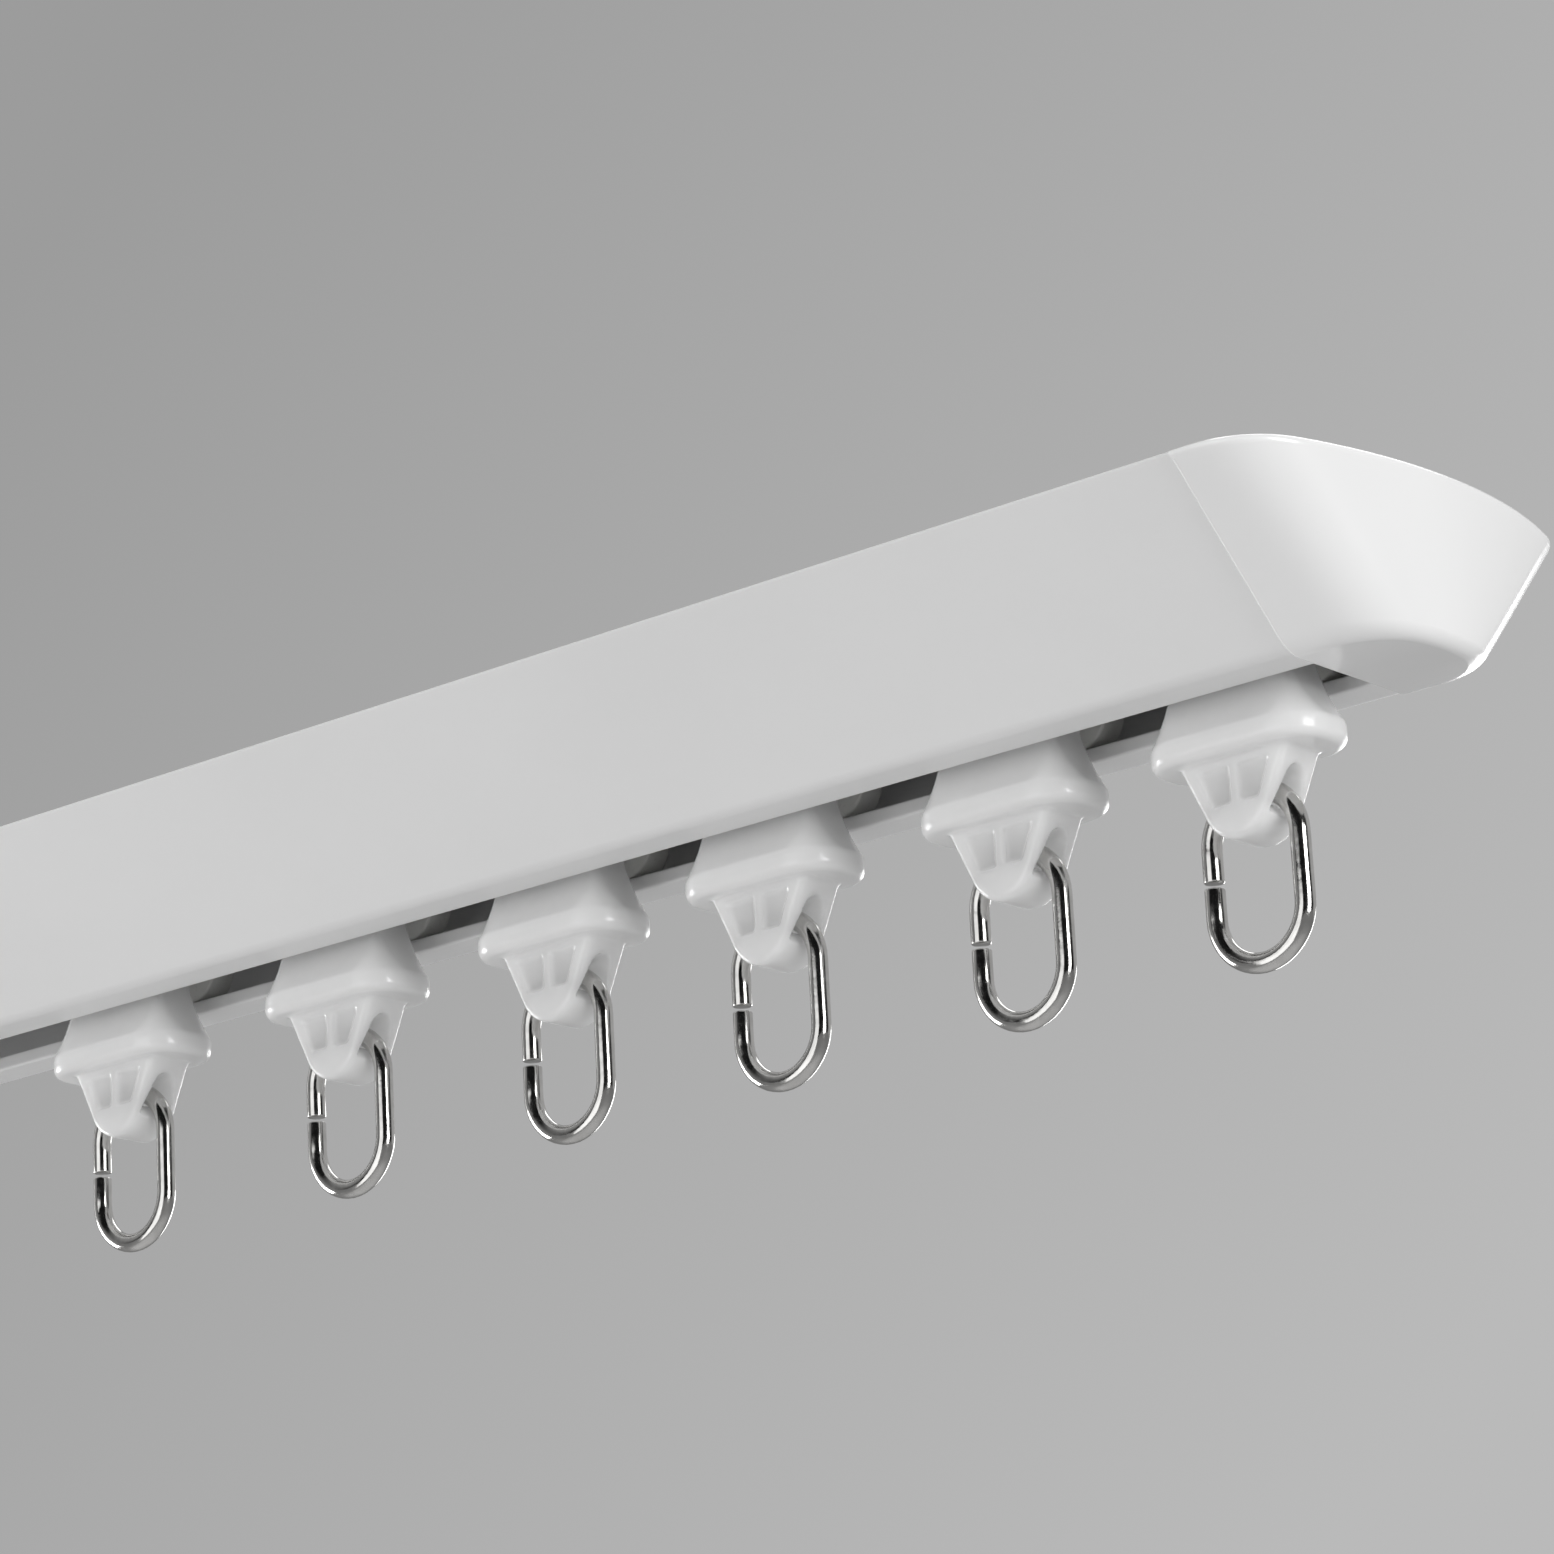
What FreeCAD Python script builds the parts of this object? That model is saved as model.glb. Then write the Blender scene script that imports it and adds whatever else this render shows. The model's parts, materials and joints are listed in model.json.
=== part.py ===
import FreeCAD, Part
import math
import os

import Sketcher
from FreeCAD import Vector

# Ceiling curtain track: a slotted, boat-shaped rail with an end cap at each end and six
# four-wheeled gliders, each with a split ring for a curtain hook.
# Millimetres. +X runs along the rail to the cap that the gliders stand by, +Z is up.
# The origin is the middle of the flat face that goes against the ceiling.

DIMENSIONS = {
    # Extruded rail
    "rail_length": 500.0,
    "rail_top_width": 46.6,
    "rail_base_width": 17.0,
    "rail_height": 14.0,
    "rail_side_wall": 1.2,
    "rail_top_wall": 1.2,
    "rail_flange": 1.5,
    "rail_slot_width": 8.5,
    "rail_lower_edge_radius": 2.0,
    "rail_upper_edge_radius": 0.2,
    "slot_edge_radius": 0.3,
    "screw_hole_diameter": 4.5,
    "screw_hole_spacing": 400.0,
    # Moulded end caps
    "cap_top_reach": 12.3,
    "cap_top_end_radius": 60.0,
    "cap_top_corner_radius": 8.0,
    "cap_base_reach": 10.6,
    "cap_base_end_radius": 21.0,
    "cap_base_corner_radius": 6.5,
    "cap_edge": 0.4,
    "cap_wall": 1.8,
    "cap_proud": 0.3,
    "lug_depth": 9.0,
    "lug_root": 4.0,
    "lug_thickness": 2.0,
    "lug_height": 5.0,
    "lug_clearance": 0.15,
    # Glider moulding
    "neck_length": 12.2,
    "neck_thickness": 5.0,
    "neck_edge_radius": 0.8,
    "head_height": 7.8,
    "head_corner": 1.6,
    "flare_start": 2.2,
    "flare_middle": 1.4,
    "flare_middle_length": 14.9,
    "flare_middle_width": 6.7,
    "flare_middle_radius": 1.8,
    "collar_level": 4.2,
    "collar_lip": 1.9,
    "collar_length": 17.6,
    "collar_width": 9.4,
    "collar_corner_radius": 4.2,
    "collar_lip_radius": 0.8,
    "tongue_top_width": 12.0,
    "tongue_shoulder_width": 6.4,
    "tongue_shoulder": 10.2,
    "tongue_tip": 12.2,
    "tongue_thickness": 5.2,
    "tongue_edge_radius": 0.6,
    "panel_depth": 0.35,
    "panel_top": 5.9,
    "panel_bottom": 9.2,
    "panel_top_width": 7.4,
    "panel_bottom_width": 4.6,
    "panel_rib": 0.9,
    "eye_level": 7.6,
    # Running gear
    "wheel_diameter": 6.8,
    "wheel_width": 2.8,
    "wheel_spacing": 7.4,
    "wheel_edge": 0.4,
    "wheel_rim": 0.8,
    "wheel_recess": 0.6,
    "wheel_hub_diameter": 3.2,
    "wheel_from_slot": 0.35,
    "wheel_side_clearance": 0.2,
    "axle_diameter": 1.6,
    "boss_diameter": 3.4,
    "running_clearance": 0.05,
    "rolling_clearance": 0.05,
    # Split rings
    "ring_wire": 1.8,
    "ring_width": 10.8,
    "ring_height": 16.7,
    "ring_gap": 0.5,
    "ring_clearance": 0.3,
    "ring_swing": 15.0,
    # Where the gliders stand, from the rail's end at the right cap
    "glider_1_setback": 10.5,
    "glider_2_setback": 35.4,
    "glider_3_setback": 62.7,
    "glider_4_setback": 88.3,
    "glider_5_setback": 116.3,
    "glider_6_setback": 146.0,
}
GLIDER_COUNT = 6
WHEEL_ENDS = {"left": -1, "right": 1}
WHEEL_SIDES = {"front": -1, "back": 1}

# Worked-out sizes, as expressions on the sheet's cells
SIDE_SLOPE = "((dims.rail_top_width - dims.rail_base_width) / 2 / dims.rail_height)"
SLANT = f"sqrt(1 + {SIDE_SLOPE} * {SIDE_SLOPE})"
UNDERSIDE = "-dims.rail_height"
FLANGE_TOP = "(dims.rail_flange - dims.rail_height)"
WHEEL_INNER = "(dims.rail_slot_width / 2 + dims.wheel_from_slot)"
AXLE_LEVEL = "(dims.rail_flange + dims.wheel_diameter / 2 + dims.rolling_clearance)"
RING_BEND = "((dims.ring_width - dims.ring_wire) / 2)"
RING_LEG = "(dims.ring_height - dims.ring_width)"
SADDLE = f"({RING_BEND} - dims.ring_wire / 2 - dims.ring_clearance)"
SADDLE_CENTRE = f"(-(dims.eye_level + {RING_BEND}))"
LIP_TOP = "(dims.collar_lip / 2 - dims.collar_level)"
TIP_DROP = "(dims.tongue_tip - dims.tongue_shoulder)"
HALF_TIP = "(dims.tongue_shoulder_width / 2)"
TIP_RADIUS = f"(({HALF_TIP} ^ 2 + {TIP_DROP} ^ 2) / (2 * {TIP_DROP}))"
TIP_CENTRE = f"({TIP_RADIUS} - dims.tongue_tip)"
SADDLE_FOOT = (f"(({SADDLE_CENTRE} ^ 2 - {TIP_CENTRE} ^ 2 - {SADDLE} ^ 2 + {TIP_RADIUS} ^ 2)"
               f" / (2 * ({SADDLE_CENTRE} - {TIP_CENTRE})))")
HALF_FOOT = f"sqrt({SADDLE} ^ 2 - ({SADDLE_FOOT} - {SADDLE_CENTRE}) ^ 2)"

doc = FreeCAD.newDocument("curtain_track")
sheet = doc.addObject("Spreadsheet::Sheet", "dims")
for row, (alias, size) in enumerate(DIMENSIONS.items(), start=1):
    sheet.set(f"A{row}", alias)
    sheet.set(f"B{row}", str(size))
    sheet.setAlias(f"B{row}", alias)
doc.recompute()


def value(expression):
    """The number that an expression on the sheet has now."""
    found = sheet.evalExpression(str(expression))
    return float(getattr(found, "Value", found))


def outer_half_width(level):
    """Half the rail's outer width at a level measured from the ceiling face."""
    return f"(dims.rail_top_width / 2 + ({level}) * {SIDE_SLOPE})"


def new_body(label):
    """An empty body whose label names its file."""
    body = doc.addObject("PartDesign::Body", label)
    body.Label = label
    return body


def new_sketch(body, name, role, up=None, along=None):
    """A sketch on one of the body's own origin planes, shifted by expressions."""
    sketch = body.newObject("Sketcher::SketchObject", name)
    plane = next(item for item in body.Origin.OriginFeatures if item.Role == role)
    sketch.AttachmentSupport = [(plane, "")]
    sketch.MapMode = "FlatFace"
    for axis, shift in (("y", up), ("z", along)):
        if shift is not None:
            sketch.setExpression(f"AttachmentOffset.Base.{axis}", shift)
    return sketch


def bind(sketch, constraint, name, expression):
    """Adds a constraint and ties its size to the sheet."""
    index = sketch.addConstraint(constraint)
    sketch.renameConstraint(index, name)
    sketch.setExpression(f"Constraints.{name}", expression)


def arc_between(start, end, radius):
    """The shorter arc between two points, with its centre on the left of the way from start to end."""
    chord = end - start
    middle = (start + end) * 0.5
    rise = math.sqrt(max(radius ** 2 - (chord.Length / 2) ** 2, 0.0))
    left = Vector(-chord.y, chord.x, 0).normalize()
    centre = middle + left * rise
    angle_from = math.atan2(start.y - centre.y, start.x - centre.x)
    angle_to = math.atan2(end.y - centre.y, end.x - centre.x)
    if angle_to <= angle_from:
        angle_to += 2 * math.pi
    return Part.ArcOfCircle(Part.Circle(centre, Vector(0, 0, 1), radius), angle_from, angle_to)


def draw(sketch, corners, name="corner", closed=True):
    """Draws an outline whose corners are (x, y), or (x, y, radius) where an arc leaves the corner."""
    points = [Vector(value(corner[0]), value(corner[1]), 0) for corner in corners]
    count = len(points)
    pieces = []
    for index in range(count if closed else count - 1):
        start, end = points[index], points[(index + 1) % count]
        if len(corners[index]) == 2:
            pieces.append(sketch.addGeometry(Part.LineSegment(start, end), False))
            continue
        radius = corners[index][2]
        geometry = sketch.addGeometry(arc_between(start, end, value(radius)), False)
        pieces.append(geometry)
        size = Sketcher.Constraint("Radius", geometry, value(radius))
        bind(sketch, size, f"{name}_{index}_radius", radius)
    joins = zip(pieces, pieces[1:] + pieces[:1]) if closed else zip(pieces, pieces[1:])
    for before, after in joins:
        sketch.addConstraint(Sketcher.Constraint("Coincident", before, 2, after, 1))
    places = [(geometry, 1) for geometry in pieces]
    if not closed:
        places.append((pieces[-1], 2))
    for index, (geometry, end) in enumerate(places):
        point = points[index]
        across = Sketcher.Constraint("DistanceX", -1, 1, geometry, end, point.x)
        bind(sketch, across, f"{name}_{index}_x", corners[index][0])
        upwards = Sketcher.Constraint("DistanceY", -1, 1, geometry, end, point.y)
        bind(sketch, upwards, f"{name}_{index}_y", corners[index][1])


def draw_circle(sketch, name, x, y, diameter):
    """Draws a circle with its centre and diameter tied to the sheet."""
    centre = Vector(value(x), value(y), 0)
    geometry = sketch.addGeometry(Part.Circle(centre, Vector(0, 0, 1), value(diameter) / 2), False)
    bind(sketch, Sketcher.Constraint("DistanceX", -1, 1, geometry, 3, centre.x), f"{name}_x", x)
    bind(sketch, Sketcher.Constraint("DistanceY", -1, 1, geometry, 3, centre.y), f"{name}_y", y)
    bind(sketch, Sketcher.Constraint("Diameter", geometry, value(diameter)), f"{name}_diameter", diameter)


def rounded_rectangle(length, width, radius):
    """Corners of a rectangle with rounded corners about the sketch's origin."""
    x, y, r = f"({length}) / 2", f"({width}) / 2", f"({radius})"
    return [
        (f"-({x} - {r})", f"-{y}"),
        (f"{x} - {r}", f"-{y}", r),
        (x, f"-({y} - {r})"),
        (x, f"{y} - {r}", r),
        (f"{x} - {r}", y),
        (f"-({x} - {r})", y, r),
        (f"-{x}", f"{y} - {r}"),
        (f"-{x}", f"-({y} - {r})", r),
    ]


def extrude(body, kind, name, sketch, length, symmetric=False, reverse=False):
    """A pad or pocket whose length is tied to the sheet."""
    feature = body.newObject(f"PartDesign::{kind}", name)
    feature.Profile = sketch
    feature.SideType = "Symmetric" if symmetric else "One side"
    feature.Reversed = reverse
    feature.setExpression("Length", length)
    body.Tip = feature
    doc.recompute()
    return feature


def turn(body, kind, name, sketch, axis):
    """A full revolution about one of its sketch's axes."""
    feature = body.newObject(f"PartDesign::{kind}", name)
    feature.Profile = sketch
    feature.ReferenceAxis = (sketch, [axis])
    feature.Angle = 360
    body.Tip = feature
    doc.recompute()
    return feature


def loft(body, kind, name, sections, ruled):
    """A loft through sketches, first to last."""
    feature = body.newObject(f"PartDesign::{kind}", name)
    feature.Profile = sections[0]
    feature.Sections = sections[1:]
    feature.Ruled = ruled
    body.Tip = feature
    doc.recompute()
    return feature


def soften(body, name, radius, chosen):
    """A fillet on the edges that the test picks."""
    base = body.Tip
    names = [f"Edge{number}" for number, edge in enumerate(base.Shape.Edges, start=1) if chosen(edge)]
    feature = body.newObject("PartDesign::Fillet", name)
    feature.Base = (base, names)
    feature.setExpression("Radius", radius)
    body.Tip = feature
    doc.recompute()
    return feature


def mirror(body, name, feature, role):
    """The same feature again on the other side of an origin plane."""
    copy = body.newObject("PartDesign::Mirrored", name)
    plane = next(item for item in body.Origin.OriginFeatures if item.Role == role)
    copy.Originals = [feature]
    copy.MirrorPlane = (plane, [""])
    body.Tip = copy
    doc.recompute()
    return copy


def place(body, x="0", y="0", z="0"):
    """Ties the body's place to the sheet."""
    for axis, expression in (("x", x), ("y", y), ("z", z)):
        body.setExpression(f".Placement.Base.{axis}", expression)


def runs_along_x(edge):
    """Whether an edge is straight and lies along the rail."""
    return isinstance(edge.Curve, Part.Line) and abs(abs(edge.Curve.Direction.x) - 1) < 1e-6


def at(edge, y, z):
    """Whether an edge along the rail stands at this place in its section, on either side."""
    centre = edge.CenterOfMass
    return runs_along_x(edge) and math.hypot(abs(centre.y) - y, centre.z - z) < 1e-3


def make_rail():
    """The extruded rail: sloping sides, a flat top with screw holes and a slot between two flanges."""
    body = new_body("track_rail")
    slant_wall = f"dims.rail_side_wall * {SLANT}"
    inner_low = f"({outer_half_width(FLANGE_TOP)} - {slant_wall})"
    inner_high = f"({outer_half_width('-dims.rail_top_wall')} - {slant_wall})"
    right_half = [
        ("dims.rail_slot_width / 2", FLANGE_TOP),
        ("dims.rail_slot_width / 2", UNDERSIDE),
        ("dims.rail_base_width / 2", UNDERSIDE),
        ("dims.rail_top_width / 2", "0"),
    ]
    inside = [(inner_high, "-dims.rail_top_wall"), (inner_low, FLANGE_TOP)]
    mirrored = [(f"-({y})", z) for y, z in reversed(right_half)]
    section = right_half + mirrored
    section += [(f"-({y})", z) for y, z in reversed(inside)]
    section += inside
    sketch = new_sketch(body, "rail_section", "YZ_Plane")
    draw(sketch, section)
    extrude(body, "Pad", "rail_extrusion", sketch, "dims.rail_length", symmetric=True)

    half_slot = value("dims.rail_slot_width / 2")
    soften(body, "rail_lower_edges", "dims.rail_lower_edge_radius",
           lambda edge: at(edge, value("dims.rail_base_width / 2"), value(UNDERSIDE)))
    soften(body, "rail_upper_edges", "dims.rail_upper_edge_radius",
           lambda edge: at(edge, value("dims.rail_top_width / 2"), 0))
    soften(body, "slot_edges", "dims.slot_edge_radius",
           lambda edge: at(edge, half_slot, value(UNDERSIDE)) or at(edge, half_slot, value(FLANGE_TOP)))

    holes = new_sketch(body, "screw_holes", "XY_Plane")
    for name, sign in (("left", "-"), ("right", "")):
        draw_circle(holes, name, f"{sign}dims.screw_hole_spacing / 2", "0", "dims.screw_hole_diameter")
    extrude(body, "Pocket", "screw_hole_cut", holes, "2 * dims.rail_top_wall", symmetric=True)
    return body


def cap_outline(level, reach, end_radius, corner_radius, side_inset, end_inset):
    """Plan of the cap at a level: square at the rail, sloping sides, round corners and a bowed end."""
    half = f"({outer_half_width(level)} + dims.cap_proud * {SLANT} - {side_inset})"
    corner = f"({corner_radius} - {end_inset})"
    bow = f"({end_radius} - {end_inset})"
    centre = f"({reach} - {end_radius})"
    up = f"({half} - {corner})"
    along = f"sqrt(({bow} - {corner}) * ({bow} - {corner}) - {up} * {up})"
    share = f"({bow} / ({bow} - {corner}))"
    straight = f"({centre} + {along})"
    meet_x, meet_y = f"({centre} + {along} * {share})", f"({up} * {share})"
    return [
        ("0", f"-{half}"),
        (straight, f"-{half}", corner),
        (meet_x, f"-{meet_y}", bow),
        (meet_x, meet_y, corner),
        (straight, half),
        ("0", half),
    ]


def make_cap(label, side):
    """A hollow moulded cap that carries on the rail's section and grips it with two lugs."""
    body = new_body(label)
    base = "dims.cap_base_reach", "dims.cap_base_end_radius", "dims.cap_base_corner_radius"
    top = "dims.cap_top_reach", "dims.cap_top_end_radius", "dims.cap_top_corner_radius"
    low = f"({UNDERSIDE} - dims.cap_proud)"
    edge = "dims.cap_edge"
    hull_levels = (
        ("cap_base", low, base, edge, edge),
        ("cap_base_edge", f"({low} + {edge})", base, "0", "0"),
        ("cap_top_edge", f"(-{edge})", top, "0", "0"),
        ("cap_top", "0", top, edge, edge),
    )
    wall = "dims.cap_wall"
    hollow_levels = (
        ("hollow_base", f"({low} + {wall})", base, f"{wall} * {SLANT}", wall),
        ("hollow_top", f"(-{wall})", top, f"{wall} * {SLANT}", wall),
    )
    for kind, name, levels in (("Additive", "hull", hull_levels), ("Subtractive", "hollow", hollow_levels)):
        sections = []
        for section, level, shape, side_inset, end_inset in levels:
            sketch = new_sketch(body, section, "XY_Plane", along=level)
            draw(sketch, cap_outline(level, *shape, side_inset, end_inset))
            sections.append(sketch)
        loft(body, f"{kind}Loft", name, sections, ruled=True)

    lug_top = "(-dims.rail_top_wall - dims.lug_clearance)"
    lug_low = f"({lug_top} - dims.lug_height)"
    outside = f"(dims.rail_side_wall + dims.lug_clearance) * {SLANT}"
    inside = f"(dims.rail_side_wall + dims.lug_clearance + dims.lug_thickness) * {SLANT}"
    corners = [
        (f"{outer_half_width(lug_low)} - {inside}", lug_low),
        (f"{outer_half_width(lug_low)} - {outside}", lug_low),
        (f"{outer_half_width(lug_top)} - {outside}", lug_top),
        (f"{outer_half_width(lug_top)} - {inside}", lug_top),
    ]
    lug = new_sketch(body, "lug_section", "YZ_Plane", along="dims.lug_root")
    draw(lug, corners)
    pad = extrude(body, "Pad", "lug", lug, "dims.lug_root + dims.lug_depth", reverse=True)
    mirror(body, "other_lug", pad, "XZ_Plane")
    place(body, x=f"{side} * dims.rail_length / 2")
    body.Placement.Rotation = FreeCAD.Rotation(Vector(0, 0, 1), 0 if side > 0 else 180)
    return body


def setback(number):
    """Where a glider stands along the rail."""
    return f"(dims.rail_length / 2 - dims.glider_{number}_setback)"


def make_glider(number):
    """The moulded glider: wheel carriage, neck, flared collar and a tongue with the ring's eye.

    Its own level 0 is the rail's underside.
    """
    body = new_body(f"glider_{number}")
    neck = "dims.neck_length / 2"
    carriage = new_sketch(body, "carriage_side", "XZ_Plane")
    draw(carriage, [
        (f"-{neck}", "-dims.collar_level"),
        (neck, "-dims.collar_level"),
        (neck, "dims.head_height - dims.head_corner", "dims.head_corner"),
        (f"{neck} - dims.head_corner", "dims.head_height"),
        (f"-({neck} - dims.head_corner)", "dims.head_height", "dims.head_corner"),
        (f"-{neck}", "dims.head_height - dims.head_corner"),
    ])
    extrude(body, "Pad", "carriage", carriage, "dims.neck_thickness", symmetric=True)
    soften(body, "neck_edges", "dims.neck_edge_radius",
           lambda edge: isinstance(edge.Curve, Part.Line) and abs(edge.Curve.Direction.z) > 0.9)

    bosses = new_sketch(body, "axle_bosses", "XZ_Plane")
    for name, sign in (("left", "-"), ("right", "")):
        draw_circle(bosses, name, f"{sign}dims.wheel_spacing / 2", AXLE_LEVEL, "dims.boss_diameter")
    reach = f"2 * ({WHEEL_INNER} - dims.wheel_side_clearance)"
    extrude(body, "Pad", "bosses", bosses, reach, symmetric=True)

    outlines = (
        ("flare_top", "dims.flare_start", "dims.neck_length", "dims.neck_thickness",
         "dims.neck_edge_radius"),
        ("flare_waist", "-dims.flare_middle", "dims.flare_middle_length", "dims.flare_middle_width",
         "dims.flare_middle_radius"),
        ("flare_rim", LIP_TOP, "dims.collar_length", "dims.collar_width", "dims.collar_corner_radius"),
    )
    flare = []
    for name, level, length, width, radius in outlines:
        sketch = new_sketch(body, name, "XY_Plane", along=level)
        draw(sketch, rounded_rectangle(length, width, radius))
        flare.append(sketch)
    loft(body, "AdditiveLoft", "flare", flare, ruled=False)
    lip = new_sketch(body, "lip_outline", "XY_Plane", along=LIP_TOP)
    draw(lip, rounded_rectangle("dims.collar_length", "dims.collar_width", "dims.collar_corner_radius"))
    extrude(body, "Pad", "lip", lip, "dims.collar_lip", reverse=True)
    lip_levels = value(LIP_TOP), value(f"{LIP_TOP} - dims.collar_lip")
    soften(body, "lip_edges", "dims.collar_lip_radius",
           lambda edge: edge.BoundBox.ZLength < 1e-6
           and min(abs(edge.BoundBox.ZMin - level) for level in lip_levels) < 1e-6)

    front = new_sketch(body, "tongue_front", "XZ_Plane")
    draw(front, [
        ("-dims.tongue_top_width / 2", "-dims.collar_level"),
        (f"-{HALF_TIP}", "-dims.tongue_shoulder", TIP_RADIUS),
        (HALF_TIP, "-dims.tongue_shoulder"),
        ("dims.tongue_top_width / 2", "-dims.collar_level"),
    ])
    extrude(body, "Pad", "tongue", front, "dims.tongue_thickness", symmetric=True)
    half_tongue = value("dims.tongue_thickness / 2")
    below_lip = value(f"{LIP_TOP} - dims.collar_lip") + 1e-3
    soften(body, "tongue_edges", "dims.tongue_edge_radius",
           lambda edge: edge.BoundBox.YLength < 1e-6
           and abs(abs(edge.BoundBox.YMin) - half_tongue) < 1e-6
           and edge.BoundBox.ZMax < below_lip and edge.BoundBox.ZLength > 1e-3)

    cut_eye(body)
    cut_panels(body)
    bores = new_sketch(body, "axle_bores", "XZ_Plane")
    for name, sign in (("left", "-"), ("right", "")):
        draw_circle(bores, name, f"{sign}dims.wheel_spacing / 2", AXLE_LEVEL,
                    "dims.axle_diameter + 2 * dims.running_clearance")
    extrude(body, "Pocket", "axle_bore_cut", bores, f"2 * {WHEEL_INNER}", symmetric=True)
    place(body, x=setback(number), z=UNDERSIDE)
    return body


def cut_eye(body):
    """The ring's eye: an arched slot along the rail that spreads downwards, and the saddle in it.

    The slot lets the ring swing. The saddle fits inside the ring and meets the tip at the slot's foot.
    """
    arch, swing = "(dims.ring_wire / 2 + dims.ring_clearance)", "dims.ring_swing"
    side, rise = f"{arch} * cos({swing})", f"{arch} * sin({swing})"
    depth = f"(-{SADDLE_FOOT} - dims.eye_level)"
    spread = f"({arch} / cos({swing}) + {depth} * tan({swing}))"
    slot = new_sketch(body, "eye_arch", "YZ_Plane", up="-dims.eye_level")
    draw(slot, [
        (f"-{spread}", f"-{depth}"),
        (spread, f"-{depth}"),
        (side, rise, arch),
        (f"-{side}", rise),
    ])
    extrude(body, "Pocket", "eye", slot, "dims.collar_length", symmetric=True)
    core = new_sketch(body, "saddle_side", "XZ_Plane")
    draw(core, [
        (f"-{HALF_FOOT}", SADDLE_FOOT),
        (HALF_FOOT, SADDLE_FOOT, SADDLE),
    ])
    extrude(body, "Pad", "saddle", core, "dims.tongue_thickness - dims.tongue_edge_radius", symmetric=True)


def cut_panels(body):
    """Shallow panels on the tongue's front and back, parted by an upright rib."""
    rib = "dims.panel_rib / 2"
    top, bottom = "-dims.panel_top", "-dims.panel_bottom"
    sketch = new_sketch(body, "panel_outline", "XZ_Plane", along="dims.tongue_thickness / 2")
    for name, sign in (("left", "-"), ("right", "")):
        draw(sketch, [
            (f"{sign}({rib})", bottom),
            (f"{sign}(dims.panel_bottom_width / 2)", bottom),
            (f"{sign}(dims.panel_top_width / 2)", top),
            (f"{sign}({rib})", top),
        ], name)
    pocket = extrude(body, "Pocket", "front_panels", sketch, "dims.panel_depth")
    mirror(body, "back_panels", pocket, "XZ_Plane")


def make_axle(label, number, end):
    """A steel pin across the carriage, as long as its two wheels are apart outside."""
    body = new_body(label)
    sketch = new_sketch(body, "axle_section", "XZ_Plane")
    draw_circle(sketch, "pin", "0", "0", "dims.axle_diameter")
    extrude(body, "Pad", "axle_pin", sketch, f"2 * ({WHEEL_INNER} + dims.wheel_width)", symmetric=True)
    place(body, x=f"{setback(number)} + {end} * dims.wheel_spacing / 2", z=f"{UNDERSIDE} + {AXLE_LEVEL}")
    return body


def make_wheel(label, number, end, side):
    """A moulded wheel pressed on its axle, with a recess between hub and rim on its outer face."""
    body = new_body(label)
    tread = "dims.wheel_diameter / 2"
    half = "dims.wheel_width / 2"
    sketch = new_sketch(body, "wheel_section", "XY_Plane")
    draw(sketch, [
        ("dims.axle_diameter / 2", f"-{half}"),
        (f"{tread} - dims.wheel_edge", f"-{half}"),
        (tread, f"-({half} - dims.wheel_edge)"),
        (tread, f"{half} - dims.wheel_edge"),
        (f"{tread} - dims.wheel_edge", half),
        (f"{tread} - dims.wheel_rim", half),
        (f"{tread} - dims.wheel_rim", f"{half} - dims.wheel_recess"),
        ("dims.wheel_hub_diameter / 2", f"{half} - dims.wheel_recess"),
        ("dims.wheel_hub_diameter / 2", half),
        ("dims.axle_diameter / 2", half),
    ])
    turn(body, "Revolution", "wheel_turning", sketch, "V_Axis")
    place(body, x=f"{setback(number)} + {end} * dims.wheel_spacing / 2",
          y=f"{side} * ({WHEEL_INNER} + {half})", z=f"{UNDERSIDE} + {AXLE_LEVEL}")
    body.Placement.Rotation = FreeCAD.Rotation(Vector(1, 0, 0), 0 if side > 0 else 180)
    return body


def make_ring(label, number):
    """A split ring of round wire, hanging from the eye with its gap in the left leg.

    Its own origin is the middle of the wire in the eye, which it swings about.
    """
    body = new_body(label)
    bend, leg, gap = RING_BEND, RING_LEG, "dims.ring_gap / 2"
    middle = f"-({bend} + {leg} / 2)"
    low = f"-({bend} + {leg})"
    path = new_sketch(body, "ring_path", "XZ_Plane")
    draw(path, [
        (f"-{bend}", f"{middle} - {gap}"),
        (f"-{bend}", low, bend),
        ("0", f"{low} - {bend}", bend),
        (bend, low),
        (bend, f"-{bend}", bend),
        ("0", "0", bend),
        (f"-{bend}", f"-{bend}"),
        (f"-{bend}", f"{middle} + {gap}"),
    ], closed=False)
    section = new_sketch(body, "wire_section", "XY_Plane", along=f"{middle} - {gap}")
    draw_circle(section, "wire", f"-{bend}", "0", "dims.ring_wire")
    doc.recompute()
    pipe = body.newObject("PartDesign::AdditivePipe", "ring_wire")
    pipe.Profile = section
    pipe.Spine = (path, [f"Edge{number}" for number in range(1, len(path.Shape.Edges) + 1)])
    body.Tip = pipe
    doc.recompute()
    place(body, x=setback(number), z=f"{UNDERSIDE} - dims.eye_level")
    return body


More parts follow.
